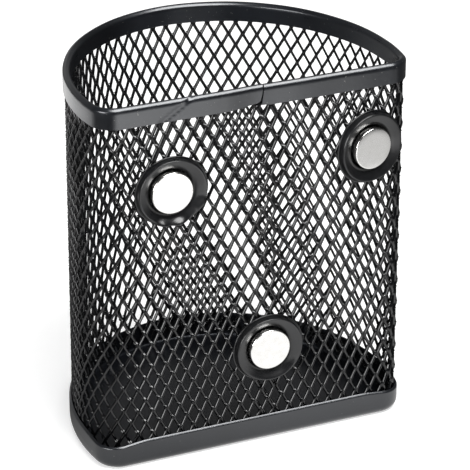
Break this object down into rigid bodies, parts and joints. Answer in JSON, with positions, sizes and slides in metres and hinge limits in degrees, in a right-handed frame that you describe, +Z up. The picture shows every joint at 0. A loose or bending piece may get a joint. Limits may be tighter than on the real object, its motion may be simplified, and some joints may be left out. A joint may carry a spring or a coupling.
{
  "type": "magnetic pen holder",
  "caption": "D-shaped open pen cup of black diamond mesh, with a folded rim, a solid base pan and plated magnets in flanged cups on its flat face.",
  "frame": {"origin": "on the floor plane, under the middle of the bounding box of the whole holder", "axes": "+Z up towards the open top; -Y out of the flat face that carries the magnets; +X to the right for a viewer who faces the magnets"},
  "size_m": [0.0868, 0.0632, 0.1],
  "materials": {
    "mesh_paint": "glossy black enamel on expanded steel",
    "sheet_paint": "semi-gloss black enamel on sheet steel",
    "cup_paint": "glossy black enamel on pressed steel",
    "magnet_plating": "bright nickel plating"
  },
  "bodies": {
    "root": {"mesh_wall": "mesh_paint", "top_rim": "sheet_paint", "base_pan": "sheet_paint", "magnet_cup_upper_left": "cup_paint", "magnet_cup_upper_right": "cup_paint", "magnet_cup_lower": "cup_paint", "retainer_upper_left": "cup_paint", "retainer_upper_right": "cup_paint", "retainer_lower": "cup_paint", "magnet_upper_left": "magnet_plating", "magnet_upper_right": "magnet_plating", "magnet_lower": "magnet_plating"}
  },
  "joints": []
}
